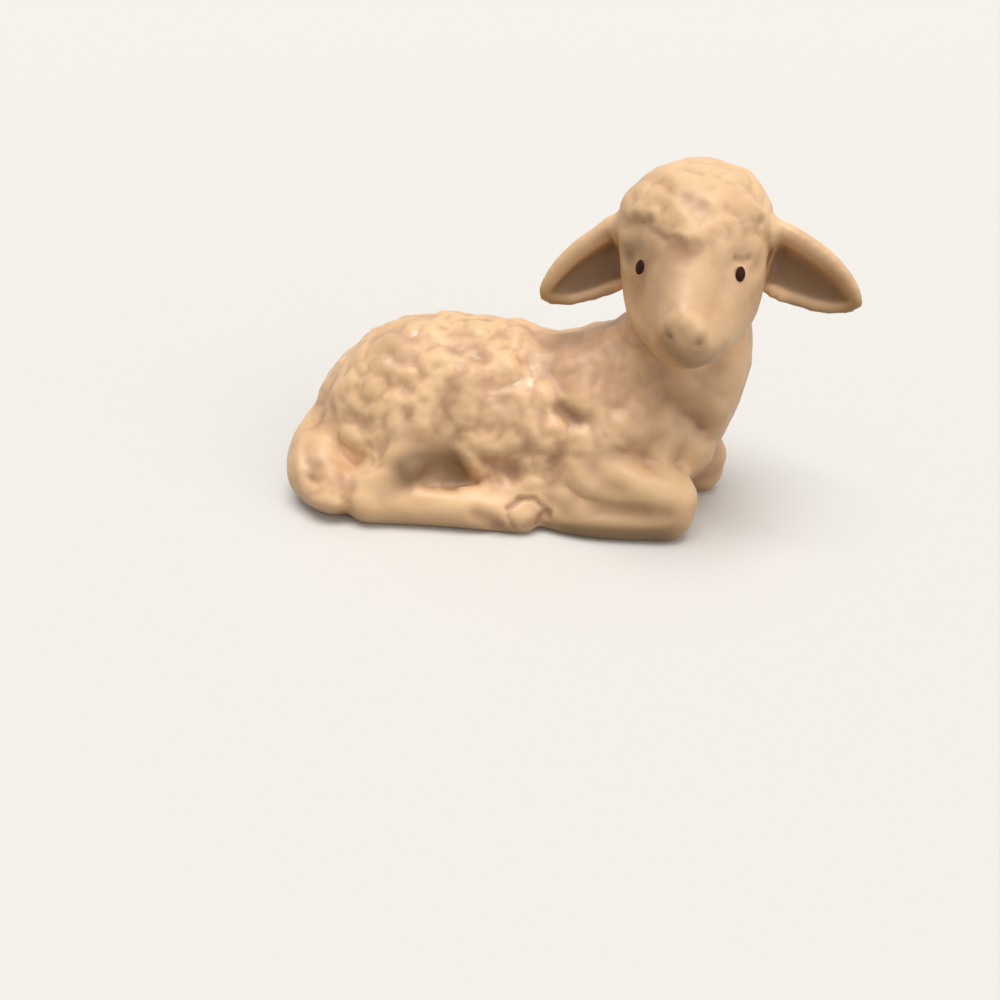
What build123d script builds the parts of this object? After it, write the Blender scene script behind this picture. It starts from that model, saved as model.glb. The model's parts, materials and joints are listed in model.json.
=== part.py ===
"""A lying lamb in unglazed bisque porcelain, put together as such a figurine is made.

The hollow body and the hollow head are cast apart in plaster moulds. The cupped ears, the four folded
legs and the tail are cast by themselves, trimmed to the curve that they sit on and luted there with slip,
so each of these pieces ends in a seat that has the exact shape of its neighbour. The eyes are two raised
drops of black enamel. The underside is fettled flat, with a vent bore for the kiln's hot air, and an
airway through the neck lets the air out of the head too.

Each form is a stack of rings whose sizes follow a smooth curve through a few chosen stations, under a skin
of small flat facets. Over the body the rings rise in a staggered crowd of domes, the curls of the fleece,
and every piece that is luted on there has their print in its seat. +X runs from the rump to the chest, +Z
up from the table, and the lamb looks over its right side, along -Y. The origin is on the resting face,
midway along the body. Sizes are in millimetres, angles in degrees.
"""

from build123d import *
import math
import os

# Driving sizes
BODY_LENGTH = 68.6
BODY_WIDTH = 31.0
BACK_HEIGHT = 26.5
HEAD_LENGTH = 31.0
HEAD_WIDTH = 21.0
HEAD_DEPTH = 20.0
EAR_LENGTH = 19.2
EAR_WIDTH = 9.9
EAR_DEPTH = 4.2
LEG_THICKNESS = 8.0
TAIL_THICKNESS = 9.8
EYE_WIDTH = 1.5
EYE_HEIGHT = 2.0
EYE_RISE = 0.45
CAP_RISE = 0.6
CURL_RISE = 0.9
CURL_PITCH = 6.0

# Casting
WALL = 2.8
VENT_BORE = 7.0
AIRWAY_BORE = 4.0
EAR_RIM = 1.6
OVERRUN = 1.0

# Facets: sides of a ring, and steps from one chosen ring to the next
BODY_SIDES = 48
BODY_FACET = 2.0
HEAD_SIDES = 28
HOLLOW_SIDES = 16
LIMB_SIDES = 12
EAR_ARC_STEPS = 8
SMOOTH_STEPS = 2
HOLLOW_STEPS = 1

# Head pose: the skull's centre over the chest, its turn from the body's length and its droop
SKULL_X_SHARE = 0.353
SKULL_Y_SHARE = -0.097
SKULL_Z_SHARE = 1.562
SKULL_BACK_SHARE = 0.34
HEAD_TURN = 94.5
HEAD_DROP = 33.0

# Ears and eyes: where they sit on the head, and how they point
EAR_PLACE_SHARE = 0.356
EAR_LIFT_SHARE = 0.04
EAR_SEAT_SHARE = 0.24
EAR_OPENING = 10.0
EAR_CUP_DROP_SHARE = 0.06
RIGHT_EAR_DROOP, RIGHT_EAR_SWEEP = 33.0, 5.0
LEFT_EAR_DROOP, LEFT_EAR_SWEEP = 22.0, 14.0
EYE_PLACE_SHARE = 0.633
EYE_ANGLE = 131.5
PROBE_SHARE = 0.01

# The cap of wool over the skull comes to a peak between the eyes and runs back to the temples
CAP_PEAK_SHARE = 0.27
CAP_TEMPLE_SHARE = 0.055

# The curls of the fleece: from where to where along the body, and from which angle up from its bottom. A
# curl's radius is a share of the pitch, it varies, and the curl strays from its even place. The skin between
# the curls sinks by a share of their rise, out to so many radii from the outermost ones
FLEECE_START_SHARE, FLEECE_END_SHARE = 0.05, 0.84
FLEECE_HEM = 62.0
CURL_RADIUS_SHARE = 0.60
CURL_STRAY_SHARE = 0.34
CURL_SIZE_SHARE = 0.25
CURL_SINK_SHARE = 0.6
FLEECE_FADE_SHARE = 2.2

# The far foreleg is turned out about its knee, which lies further ahead and further under the chest
FAR_FORELEG_TURN = 20.0
FAR_KNEE_LEAD_SHARE = 0.072
FAR_KNEE_TUCK_SHARE = 0.431

# Vent
VENT_PLACE_SHARE = -0.20

# Stations along the body: place, half width, widest height, top, bottom, pinch of the upper half
BODY_STATION_SHARES = [
    (0.002, 0.10, 0.36, 0.42, 0.30, 0.00),
    (0.012, 0.26, 0.35, 0.50, 0.20, 0.00),
    (0.040, 0.50, 0.34, 0.63, 0.06, 0.00),
    (0.100, 0.74, 0.36, 0.81, -0.03, 0.05),
    (0.180, 0.90, 0.38, 0.95, -0.06, 0.06),
    (0.300, 1.00, 0.41, 1.01, -0.07, 0.05),
    (0.450, 0.98, 0.41, 0.99, -0.07, 0.03),
    (0.600, 0.94, 0.40, 0.96, -0.07, 0.05),
    (0.700, 0.91, 0.38, 1.05, -0.07, 0.20),
    (0.780, 0.85, 0.38, 1.24, -0.06, 0.30),
    (0.860, 0.76, 0.46, 1.36, 0.02, 0.22),
    (0.930, 0.62, 0.62, 1.33, 0.26, 0.10),
    (0.980, 0.36, 0.86, 1.18, 0.60, 0.00),
    (0.998, 0.12, 0.90, 1.00, 0.82, 0.00),
]

# Stations from the back of the skull to the nose, with the same columns
HEAD_STATION_SHARES = [
    (0.005, 0.12, 0.02, 0.09, -0.05, 0.00),
    (0.021, 0.28, 0.02, 0.17, -0.14, 0.00),
    (0.059, 0.50, 0.02, 0.27, -0.25, 0.02),
    (0.140, 0.79, 0.08, 0.38, -0.36, 0.05),
    (0.250, 0.91, 0.10, 0.46, -0.43, 0.07),
    (0.359, 0.95, 0.08, 0.48, -0.46, 0.07),
    (0.469, 0.96, 0.02, 0.46, -0.48, 0.04),
    (0.569, 0.95, -0.08, 0.41, -0.49, 0.04),
    (0.669, 0.89, -0.15, 0.33, -0.47, 0.18),
    (0.769, 0.74, -0.14, 0.28, -0.41, 0.28),
    (0.869, 0.58, -0.08, 0.25, -0.33, 0.25),
    (0.950, 0.44, -0.03, 0.20, -0.23, 0.15),
    (0.985, 0.26, 0.00, 0.13, -0.14, 0.05),
    (0.998, 0.12, 0.00, 0.06, -0.06, 0.00),
]

# Stations along an ear: place, half width, depth of the back, width of the cup
EAR_STATION_SHARES = [
    (0.000, 0.90, 0.90, 0.96),
    (0.200, 1.00, 1.00, 1.00),
    (0.420, 1.00, 1.00, 1.00),
    (0.600, 0.92, 0.90, 1.00),
    (0.750, 0.75, 0.74, 0.94),
    (0.860, 0.55, 0.54, 0.80),
    (0.940, 0.34, 0.34, 0.50),
    (0.985, 0.16, 0.18, 0.25),
]

# Stations of the right legs' bones and of the tail: along the body, out from its middle, height, thickness
FOREARM_SHARES = [(0.117, 0.67, 1.20, 1.10), (0.233, 0.85, 0.97, 1.05), (0.345, 0.90, 0.80, 1.05)]
FORE_CANNON_SHARES = [
    (0.345, 0.94, 0.42, 0.95),
    (0.248, 1.01, 0.35, 0.78),
    (0.168, 1.02, 0.33, 0.72),
    (0.110, 0.97, 0.31, 0.66),
    (0.062, 0.90, 0.28, 0.56),
]
TIBIA_SHARES = [(-0.312, 1.02, 0.50, 0.95), (-0.248, 0.94, 0.95, 1.00), (-0.168, 0.74, 1.40, 1.10)]
HIND_CANNON_SHARES = [
    (-0.312, 1.05, 0.42, 1.00),
    (-0.175, 1.06, 0.38, 0.78),
    (-0.058, 1.05, 0.39, 0.82),
    (0.032, 1.05, 0.31, 0.70),
]
TAIL_SHARES = [
    (-0.443, 0.10, 1.07, 0.73),
    (-0.465, 0.44, 0.73, 0.94),
    (-0.448, 0.80, 0.49, 1.00),
    (-0.393, 1.02, 0.42, 0.86),
]

# Rounded ends of a limb, and the dome of an eye: how far out, and how wide
LIMB_END_SHARES = [(0.50, 0.87), (0.87, 0.50), (0.985, 0.17)]
EYE_DOME_SHARES = [(-1.5, 1.00), (0.0, 1.00), (0.50, 0.86), (0.86, 0.50), (1.0, 0.15)]


def eased(rows, steps, longest=math.inf):
    """The chosen rows with more between them on a smooth curve, none further apart than the longest gap."""
    result = []
    for k in range(len(rows) - 1):
        here, there = rows[k], rows[k + 1]
        before, after = rows[max(k - 1, 0)], rows[min(k + 2, len(rows) - 1)]
        gap = there[0] - here[0]
        count = max(steps, math.ceil(gap / longest))
        for step in range(count):
            t = step / count
            row = [here[0] + gap * t]
            for i in range(1, len(here)):
                slope_here = gap * (there[i] - before[i]) / (there[0] - before[0])
                slope_there = gap * (after[i] - here[i]) / (after[0] - here[0])
                row.append(
                    here[i] * (1 + 2 * t) * (1 - t) ** 2
                    + there[i] * t * t * (3 - 2 * t)
                    + slope_here * t * (1 - t) ** 2
                    - slope_there * t * t * (1 - t)
                )
            result.append(row)
    return result + [list(rows[-1])]


def between(rows, place):
    """The sizes at a place between two of the chosen rows."""
    k = max(i for i in range(len(rows) - 1) if rows[i][0] <= place)
    t = (place - rows[k][0]) / (rows[k + 1][0] - rows[k][0])
    return [a * (1 - t) + b * t for a, b in zip(rows[k], rows[k + 1])]


def egg_point(angle, half_width, widest, top, bottom, pinch_share):
    """Across and up to a point of an egg outline, at an angle that is counted from its bottom."""
    rise = -math.cos(angle)
    reach = top - widest if rise > 0 else widest - bottom
    across = half_width * math.sin(angle) * (1 - pinch_share * max(rise, 0))
    return across, widest + reach * rise


def ring(plane, sides, *egg):
    """The corners of a many-sided egg outline in a plane."""
    angles = [2 * math.pi * i / sides for i in range(sides)]
    return [Vector(*plane.from_local_coords(egg_point(angle, *egg))) for angle in angles]


def skinned(rings):
    """A solid over a stack of rings, closed at both ends, with two flat facets from each side to the next."""
    faces = [Face(Wire.make_polygon(rings[0])), Face(Wire.make_polygon(rings[-1]))]
    for near, far in zip(rings, rings[1:]):
        for i in range(len(near)):
            a, b, c, d = near[i - 1], near[i], far[i], far[i - 1]
            corners = ((a, b, c), (a, c, d)) if (a - c).length < (b - d).length else ((a, b, d), (b, c, d))
            faces += [Face(Wire.make_polygon(three)) for three in corners]
    return Solid(Shell(faces))


def egg_sizes(row, width, depth, inset):
    """A station's outline, drawn in by the inset; the small rings at the ends are drawn in less."""
    half_width, widest, top, bottom, pinch = row
    drawn_in = inset * min(1, 2 * half_width)
    return (
        width / 2 * half_width - drawn_in,
        depth * widest,
        depth * top - drawn_in,
        depth * bottom + drawn_in,
        pinch,
    )


def under(height):
    """Everything below a height, to trim a piece level."""
    reach = 2 * BODY_LENGTH
    return Pos(0, 0, height) * Box(reach, reach, reach, align=(Align.CENTER, Align.CENTER, Align.MAX))


def body_station(row, inset):
    """The plane and the outline of one station of the body."""
    along = (BODY_LENGTH - 2 * inset) * (row[0] - 1 / 2)
    plane = Plane(origin=(along, 0, 0), x_dir=(0, 1, 0), z_dir=(1, 0, 0))
    return plane, egg_sizes(row[1:], BODY_WIDTH, BACK_HEIGHT, inset)


def body_hollow():
    """The hollow in the body, a wall's thickness inside it."""
    stations = [body_station(row, WALL) for row in eased(BODY_STATION_SHARES, HOLLOW_STEPS)]
    return skinned([ring(plane, HOLLOW_SIDES, *egg) for plane, egg in stations]) - under(WALL)


def curls():
    """The middle and the radius of each curl, in staggered bands round the body, each strayed a little."""
    golden = (1 + math.sqrt(5)) / 2
    hem = math.radians(FLEECE_HEM)
    bands = round(BODY_LENGTH * (FLEECE_END_SHARE - FLEECE_START_SHARE) / CURL_PITCH)
    result = []
    for band in range(bands + 1):
        middle = FLEECE_START_SHARE + (FLEECE_END_SHARE - FLEECE_START_SHARE) * band / bands
        half_width, _, top, bottom, _ = body_station(between(BODY_STATION_SHARES, middle), 0.0)[1]
        girth = (half_width + (top - bottom) / 2) * (math.pi - hem)
        places = max(round(girth / CURL_PITCH), 1)
        for i in range(places):
            stray = [((len(result) + 1) * golden ** n) % 1 - 1 / 2 for n in (1, 2, 3)]
            place = middle + CURL_STRAY_SHARE * stray[0] * CURL_PITCH / BODY_LENGTH
            turn = (i + band % 2 / 2 + CURL_STRAY_SHARE * stray[1]) / places
            plane, egg = body_station(between(BODY_STATION_SHARES, place), 0.0)
            here = plane.from_local_coords(egg_point(hem + (2 * math.pi - 2 * hem) * turn, *egg))
            result.append((tuple(here), CURL_PITCH * CURL_RADIUS_SHARE * (1 + CURL_SIZE_SHARE * stray[2])))
    return result


def body_form():
    """The body's outer form: its rings, pushed out in a dome over each curl and sunk between them."""
    domes = curls()
    rings = []
    for row in eased(BODY_STATION_SHARES, 1, BODY_FACET / BODY_LENGTH):
        plane, egg = body_station(row, 0.0)
        middle = Vector(*plane.from_local_coords((0, egg[1])))
        corners = []
        for corner in ring(plane, BODY_SIDES, *egg):
            nearest = min(math.dist(tuple(corner), place) / radius for place, radius in domes)
            sink = CURL_SINK_SHARE * min(max(FLEECE_FADE_SHARE - nearest, 0), 1)
            lift = CURL_RISE * (max(1 - nearest ** 2, 0) - sink)
            corners.append(corner + (corner - middle).normalized() * lift)
        rings.append(corners)
    return skinned(rings) - under(0.0)


def head_plane(along):
    """The plane across the head at a distance in front of the skull's centre."""
    turn, drop = math.radians(HEAD_TURN), math.radians(HEAD_DROP)
    forward = Vector(math.cos(drop) * math.cos(turn), -math.cos(drop) * math.sin(turn), -math.sin(drop))
    across = Vector(math.sin(turn), math.cos(turn), 0)
    centre = Vector(BODY_LENGTH * SKULL_X_SHARE, BODY_WIDTH * SKULL_Y_SHARE, BACK_HEIGHT * SKULL_Z_SHARE)
    return Plane(origin=centre + forward * along, x_dir=across, z_dir=forward)


def head_station(row, inset):
    """The plane and the outline of one station of the head."""
    length = HEAD_LENGTH - 2 * inset
    along = HEAD_LENGTH / 2 + length * (row[0] - 1 / 2) - HEAD_LENGTH * SKULL_BACK_SHARE
    return head_plane(along), egg_sizes(row[1:], HEAD_WIDTH, HEAD_DEPTH, inset)


def head_form(inset, sides, steps):
    """The head's outer form, or with an inset the form of the hollow in it."""
    stations = [head_station(row, inset) for row in eased(HEAD_STATION_SHARES, steps)]
    return skinned([ring(plane, sides, *egg) for plane, egg in stations])


def cap_form():
    """The cap of wool: the skull's form a little larger, behind two upright planes that meet at the peak."""
    base = head_plane(0.0)
    reach = 2 * HEAD_WIDTH
    peak, temple = HEAD_LENGTH * CAP_PEAK_SHARE, HEAD_LENGTH * CAP_TEMPLE_SHARE
    flank = peak - (peak - temple) * reach / (HEAD_WIDTH / 2)
    corners = [(-reach, -reach), (-reach, flank), (0, peak), (reach, flank), (reach, -reach)]
    outline = [Vector(*base.from_local_coords((across, -reach, along))) for across, along in corners]
    return head_form(-CAP_RISE, HEAD_SIDES, SMOOTH_STEPS) & extrude(
        Face(Wire.make_polygon(outline)), amount=2 * reach, dir=base.y_dir
    )


def head_skin(place, angle):
    """A point of the head's skin."""
    plane, egg = head_station(between(HEAD_STATION_SHARES, place), 0.0)
    return Vector(*plane.from_local_coords(egg_point(angle, *egg)))


def ear_form(side, droop, sweep):
    """A cupped ear, from inside the skull to its tip. side is 1 for the lamb's left ear, -1 for its right."""
    base = head_plane(HEAD_LENGTH * (EAR_PLACE_SHARE - SKULL_BACK_SHARE))
    ahead = Vector(base.z_dir.X, base.z_dir.Y, 0).normalized()
    droop, sweep, opening = math.radians(droop), math.radians(sweep), math.radians(EAR_OPENING)
    level = base.x_dir * side * math.cos(sweep) + ahead * math.sin(sweep)
    outward = level * math.cos(droop) - Vector(0, 0, math.sin(droop))
    facing = ahead * math.cos(opening) - Vector(0, 0, math.sin(opening))
    facing = (facing - outward * facing.dot(outward)).normalized()
    edge = facing.cross(outward).normalized()
    seat = side * HEAD_WIDTH * (1 / 2 - EAR_SEAT_SHARE)
    start = Vector(*base.from_local_coords((seat, HEAD_DEPTH * EAR_LIFT_SHARE)))
    inner_share = 1 - 2 * EAR_RIM / EAR_WIDTH
    rings = []
    for place, half_width, depth, cup_width in eased(EAR_STATION_SHARES, SMOOTH_STEPS):
        centre = start + outward * EAR_LENGTH * place
        cup_centre = centre - edge * side * EAR_WIDTH * EAR_CUP_DROP_SHARE * half_width * cup_width
        back, cup = [], []
        for i in range(EAR_ARC_STEPS + 1):
            angle = math.pi * i / EAR_ARC_STEPS
            over = edge * EAR_WIDTH / 2 * half_width * math.cos(angle)
            behind = facing * EAR_DEPTH * depth * math.sin(angle)
            back.append(centre + over - behind)
            cup.append(cup_centre + (over - behind) * inner_share * cup_width)
        rings.append(back + cup[::-1])
    return skinned(rings)


def eye_form(side):
    """A drop of enamel on the head's skin."""
    angle = side * math.radians(EYE_ANGLE)
    here = head_skin(EYE_PLACE_SHARE, angle)
    along = head_skin(EYE_PLACE_SHARE + PROBE_SHARE, angle) - here
    around = head_skin(EYE_PLACE_SHARE, angle + side * PROBE_SHARE) - here
    out = around.cross(along).normalized() * side
    plane = Plane(origin=here, x_dir=Vector(0, 0, 1).cross(out).normalized(), z_dir=out)
    rings = []
    for lift, spread in EYE_DOME_SHARES:
        outline = (EYE_WIDTH / 2 * spread, 0.0, EYE_HEIGHT / 2 * spread, -EYE_HEIGHT / 2 * spread, 0.0)
        rings.append(ring(plane.offset(EYE_RISE * lift), LIMB_SIDES, *outline))
    return skinned(rings)


def limb(station_shares, thickness):
    """A rounded limb on the body's right side, through its stations."""
    stations = [
        (BODY_LENGTH * along, -BODY_WIDTH / 2 * out, thickness * height, thickness / 2 * radius)
        for along, out, height, radius in station_shares
    ]
    rows = [row[1:] for row in eased([(k, *station) for k, station in enumerate(stations)], SMOOTH_STEPS)]
    centres = [Vector(*row[:3]) for row in rows]
    radii = [row[3] for row in rows]
    tips = (centres[0], centres[-1])
    ways = ((tips[0] - centres[1]).normalized(), (tips[1] - centres[-2]).normalized())
    for lift, spread in LIMB_END_SHARES:
        centres.insert(0, tips[0] + ways[0] * stations[0][3] * lift)
        radii.insert(0, stations[0][3] * spread)
        centres.append(tips[1] + ways[1] * stations[-1][3] * lift)
        radii.append(stations[-1][3] * spread)
    rings = []
    for k, (centre, radius) in enumerate(zip(centres, radii)):
        along = (centres[min(k + 1, len(centres) - 1)] - centres[max(k - 1, 0)]).normalized()
        level = Vector(0, 0, 1).cross(along).normalized()
        plane = Plane(origin=centre, x_dir=level, z_dir=along)
        rings.append(ring(plane, LIMB_SIDES, radius, 0.0, radius, -radius, 0.0))
    return skinned(rings)


def folded_leg(upper_shares, lower_shares):
    """A folded right leg: its upper bone, and the cannon that lies back under it from the knee or hock."""
    return limb(upper_shares, LEG_THICKNESS) + limb(lower_shares, LEG_THICKNESS)


def far_foreleg():
    """The left foreleg: the right one mirrored, moved ahead and under the chest, turned about its knee."""
    along, out = FORE_CANNON_SHARES[0][:2]
    knee = Pos(BODY_LENGTH * along, BODY_WIDTH / 2 * out, 0)
    place = Pos(BODY_LENGTH * FAR_KNEE_LEAD_SHARE, -BODY_WIDTH * FAR_KNEE_TUCK_SHARE, 0) * knee
    mirrored = mirror(folded_leg(FOREARM_SHARES, FORE_CANNON_SHARES), Plane.XZ)
    return place * Rot(0, 0, -FAR_FORELEG_TURN) * knee.inverse() * mirrored


def vent():
    """The bore through the flat underside into the hollow."""
    return Pos(BODY_LENGTH * VENT_PLACE_SHARE, 0, 0) * Cylinder(VENT_BORE / 2, 2 * (WALL + OVERRUN))


def airway():
    """The upright bore through the top of the neck, from the body's hollow into the head's."""
    centre = head_plane(0.0).origin
    rise = centre.Z - BACK_HEIGHT
    return Pos(centre.X, centre.Y, centre.Z - rise / 2) * Cylinder(AIRWAY_BORE / 2, rise)


def main():
    os.makedirs("parts", exist_ok=True)
    body = body_form()
    head = head_form(0.0, HEAD_SIDES, SMOOTH_STEPS) + cap_form()
    table = under(0.0)
    parts = {}
    parts["body_casting"] = body - body_hollow() - vent() - airway()
    parts["head_casting"] = head - head_form(WALL, HOLLOW_SIDES, HOLLOW_STEPS) - body
    parts["right_ear"] = ear_form(-1, RIGHT_EAR_DROOP, RIGHT_EAR_SWEEP) - head
    parts["left_ear"] = ear_form(1, LEFT_EAR_DROOP, LEFT_EAR_SWEEP) - head
    hind_leg = folded_leg(TIBIA_SHARES, HIND_CANNON_SHARES)
    parts["right_hind_leg"] = hind_leg - body - table
    parts["left_hind_leg"] = mirror(hind_leg, Plane.XZ) - body - table
    foreleg = folded_leg(FOREARM_SHARES, FORE_CANNON_SHARES)
    parts["right_foreleg"] = foreleg - body - table - parts["right_hind_leg"]
    parts["left_foreleg"] = far_foreleg() - body - table
    parts["tail"] = limb(TAIL_SHARES, TAIL_THICKNESS) - body - table - parts["right_hind_leg"]
    parts["right_eye"] = eye_form(-1) - head
    parts["left_eye"] = eye_form(1) - head
    for name, shape in parts.items():
        export_step(shape, f"parts/{name}.step")


main()
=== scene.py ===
# %% [markdown]
# # A lying lamb in bisque porcelain
# The figurine is built from eleven pieces: nine of clay, luted together and fired without a glaze, and
# two eyes of enamel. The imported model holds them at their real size, with plain facets. Here they get
# the surface that a modeller's tool left in the clay: curls of wool, folded skin, hooves and a face. The
# facets could be bevelled piece by piece, but then every seam would show. So copies of the pieces are
# melted into one skin, that skin is modelled, and at the end it is cut back into the same pieces.

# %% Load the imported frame
import json
import math

import bmesh
import bpy
import numpy as np
from mathutils import Matrix, Vector, noise
from mathutils.bvhtree import BVHTree
from mathutils.kdtree import KDTree


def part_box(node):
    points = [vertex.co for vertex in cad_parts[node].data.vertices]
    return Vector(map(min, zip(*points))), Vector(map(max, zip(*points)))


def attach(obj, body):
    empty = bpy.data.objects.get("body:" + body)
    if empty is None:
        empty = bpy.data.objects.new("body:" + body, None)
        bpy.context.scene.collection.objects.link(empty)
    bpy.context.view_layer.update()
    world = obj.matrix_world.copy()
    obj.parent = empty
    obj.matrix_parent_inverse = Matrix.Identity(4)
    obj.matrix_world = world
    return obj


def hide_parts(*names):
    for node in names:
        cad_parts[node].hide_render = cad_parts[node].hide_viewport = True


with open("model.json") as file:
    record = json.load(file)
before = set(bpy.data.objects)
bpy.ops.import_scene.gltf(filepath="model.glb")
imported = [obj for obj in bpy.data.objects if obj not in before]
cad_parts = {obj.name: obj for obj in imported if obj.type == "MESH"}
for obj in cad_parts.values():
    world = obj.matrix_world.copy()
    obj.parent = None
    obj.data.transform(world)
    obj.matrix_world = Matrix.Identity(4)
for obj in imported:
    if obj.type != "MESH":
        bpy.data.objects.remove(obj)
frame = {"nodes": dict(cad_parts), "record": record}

MM = 0.001
scene = bpy.context.scene
cad_nodes = frame["nodes"]
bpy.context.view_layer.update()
print("nodes:", sorted(cad_nodes))

# %% [markdown]
# ## The camera comes first
# Every curl and fold is placed by where it shows in the picture, so the camera is settled before the
# modelling. It could be matched by hand in the viewport. Here its place follows from four facts: which
# way it looks, how far off it stands, its focal length in pixels, and the pixel where the point on the
# table midway along the body lands.

# %% Where the camera stands
FRAME_PX = 1000
FOCAL_PX = 1000
ORIGIN_PX = (522.4, 477.0)
CAMERA_TURN = math.radians(9)
CAMERA_PITCH = math.radians(30)
CAMERA_DISTANCE = 165

right = Vector((math.cos(CAMERA_TURN), math.sin(CAMERA_TURN), 0))
back = Vector((
    math.sin(CAMERA_TURN) * math.cos(CAMERA_PITCH),
    -math.cos(CAMERA_TURN) * math.cos(CAMERA_PITCH),
    math.sin(CAMERA_PITCH),
))
up = back.cross(right)


def pixel_way(x, y):
    """The direction, from the camera, of a pixel of the picture."""
    return right * (x - FRAME_PX / 2) / FOCAL_PX - up * (y - FRAME_PX / 2) / FOCAL_PX - back


lens_point = -pixel_way(*ORIGIN_PX) * CAMERA_DISTANCE
print("camera at", [round(v, 1) for v in lens_point], "mm")

# %% The camera object
camera_data = bpy.data.cameras.new("camera")
camera_data.sensor_width = 36
camera_data.lens = camera_data.sensor_width * FOCAL_PX / FRAME_PX
camera_data.clip_start = 0.01
camera = bpy.data.objects.new("camera", camera_data)
facing = Matrix((right, up, back)).transposed().to_4x4()
camera.matrix_world = Matrix.Translation(lens_point * MM) @ facing
scene.collection.objects.link(camera)
scene.camera = camera
print("lens:", round(camera_data.lens, 1), "mm")

# %% [markdown]
# ## One skin over all the pieces
# A modeller smears slip over each joint until no line is left between an ear and the head. A boolean
# could unite the pieces and a bevel round the seams, but it fails on such ragged edges. A voxel remesh
# does both jobs: it keeps the outer shape, drops what lies inside the clay, and leaves an even net of
# small squares, which is the right stock to model on.

# %% A heap of the clay pieces
VOXEL = 0.4
WELD = VOXEL * MM / 100
EYES = ("right_eye", "left_eye")
clay_names = [name for name in sorted(cad_nodes) if name not in EYES]


def welded(name):
    """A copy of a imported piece, its loose triangles merged into a closed skin."""
    bm = bmesh.new()
    bm.from_mesh(cad_nodes[name].data)
    bmesh.ops.remove_doubles(bm, verts=bm.verts, dist=WELD)
    mesh = bpy.data.meshes.new("welded_" + name)
    bm.to_mesh(mesh)
    bm.free()
    return mesh


heap_bm = bmesh.new()
for name in clay_names:
    piece_mesh = welded(name)
    heap_bm.from_mesh(piece_mesh)
    bpy.data.meshes.remove(piece_mesh)
print("clay pieces:", len(clay_names), "with", len(heap_bm.verts), "corners")

# %% Pads that fill the wool behind the elbows and before the thighs, each a middle and its radii
WOOL_PADS_MM = [((3.5, -12.5, 5.0), (9.0, 4.6, 4.6)), ((-14.0, -12.0, 6.5), (8.0, 4.2, 5.0))]
for (x, y, z), radii in WOOL_PADS_MM:
    for side in (1, -1):
        pad = Matrix.Translation((x * MM, y * side * MM, z * MM)) @ Matrix.Diagonal((*radii, 1))
        made = bmesh.ops.create_uvsphere(heap_bm, u_segments=32, v_segments=16, radius=MM)
        bmesh.ops.transform(heap_bm, matrix=pad, verts=made["verts"])
print("pads:", 2 * len(WOOL_PADS_MM))


# %% Melt the heap into one skin
def make_object(name, mesh):
    """A new object at the origin, in the scene."""
    thing = bpy.data.objects.new(name, mesh)
    scene.collection.objects.link(thing)
    return thing


heap = bpy.data.meshes.new("heap")
heap_bm.to_mesh(heap)
heap_bm.free()
stock = make_object("stock", heap)
melt = stock.modifiers.new("melt", "REMESH")
melt.mode = "VOXEL"
melt.voxel_size = VOXEL * MM
depsgraph = bpy.context.evaluated_depsgraph_get()
skin = bpy.data.meshes.new_from_object(stock.evaluated_get(depsgraph))
bpy.data.objects.remove(stock)
print("skin:", len(skin.vertices), "points,", len(skin.polygons), "squares")

# %% [markdown]
# ## Tools for modelling by number
# A brush in sculpt mode moves points along their normals, most at its middle. The same can be written
# down: all points stand in one table of coordinates, in millimetres, and each tool below moves rows of
# it. That takes longer than by hand, but every stroke can be read, moved and repeated.

# %% The table of points
count = len(skin.vertices)
points = np.empty(count * 3)
skin.vertices.foreach_get("co", points)
points = points.reshape(count, 3) / MM
edges = np.empty(len(skin.edges) * 2, np.int64)
skin.edges.foreach_get("vertices", edges)
edge_a, edge_b = edges.reshape(-1, 2).T
valence = np.bincount(edge_a, minlength=count) + np.bincount(edge_b, minlength=count)
print("edges that meet at a point:", int(valence.min()), "to", int(valence.max()))


# %% Blur and smooth
def neighbours_mean(values):
    """For each point, the mean of a value over the points joined to it."""
    if values.ndim > 1:
        return np.stack([neighbours_mean(column) for column in values.T], 1)
    total = np.bincount(edge_a, values[edge_b], count) + np.bincount(edge_b, values[edge_a], count)
    return total / valence


def spread(values, rounds):
    """A value blurred over the skin, further with more rounds."""
    for _ in range(rounds):
        values = (values + neighbours_mean(values)) / 2
    return values


def skin_normals():
    """The normals of the skin as it stands now."""
    skin.vertices.foreach_set("co", (points * MM).ravel())
    skin.update()
    found = np.empty(count * 3)
    skin.vertex_normals.foreach_get("vector", found)
    return found.reshape(count, 3)


def relax(weight, rounds, swell=0.0):
    """Smooths the skin where the weight is 1, as a wet thumb does. A swell gives back what that takes."""
    for _ in range(rounds):
        points[:] += (neighbours_mean(points) - points) * weight[:, None] / 2
        if swell:
            points[:] -= (neighbours_mean(points) - points) * weight[:, None] * swell


# %% Say what a step did
MOVED = 0.01
last_seen = points.copy()


def say_moved(what):
    """Prints how far the skin has moved since this was last called."""
    shift = np.linalg.norm(points - last_seen, axis=1)
    print(what, "moved", int((shift > MOVED).sum()), "points, at most", round(float(shift.max()), 2), "mm")
    last_seen[:] = points


# %% [markdown]
# ## Which piece a point belongs to
# The fleece, the bare skin of the legs and the joints need to be told apart, and at the end the skin is
# cut into pieces again. Vertex groups could be painted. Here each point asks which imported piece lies
# nearest. The two castings are hollow, and a point on an inside wall is told by its normal, which looks
# toward the middle.

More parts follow.
